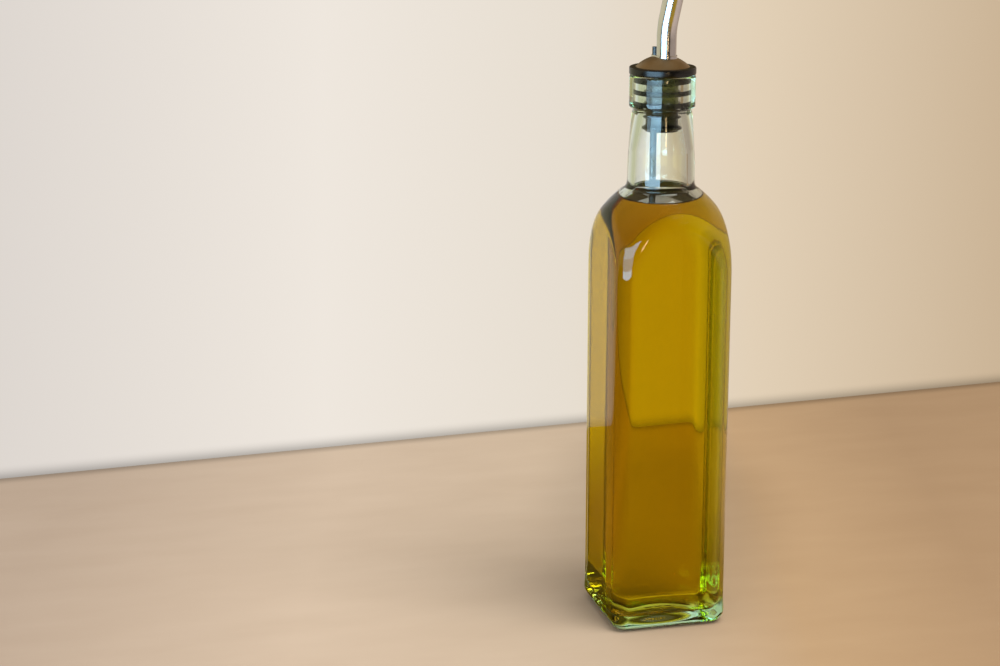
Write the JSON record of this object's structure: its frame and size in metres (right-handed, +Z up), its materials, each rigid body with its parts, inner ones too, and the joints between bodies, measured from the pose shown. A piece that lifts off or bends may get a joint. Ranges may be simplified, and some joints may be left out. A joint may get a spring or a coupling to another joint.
{
  "type": "olive oil bottle",
  "caption": "Tall square clear glass bottle with rounded shoulders, filled with golden green olive oil into the shoulder, and a finned black stopper with a bent steel pouring spout.",
  "frame": {"origin": "centre of the base, on the surface the bottle stands on", "axes": "+Z up along the bottle's axis; the four flat faces look along +X, -X, +Y and -Y; the spout leans towards the edge between +X and -Y"},
  "size_m": [0.057, 0.057, 0.3287],
  "materials": {
    "clear_glass": "clear, faint green",
    "olive_oil": "clear golden green liquid",
    "black_rubber": "satin black",
    "satin_steel": "satin",
    "bright_steel": "polished"
  },
  "bodies": {
    "root": {"bottle": "clear_glass", "oil": "olive_oil", "stopper": "black_rubber", "cap": "satin_steel", "collar": "bright_steel", "spout": "bright_steel", "vent_tube": "black_rubber"}
  },
  "joints": []
}
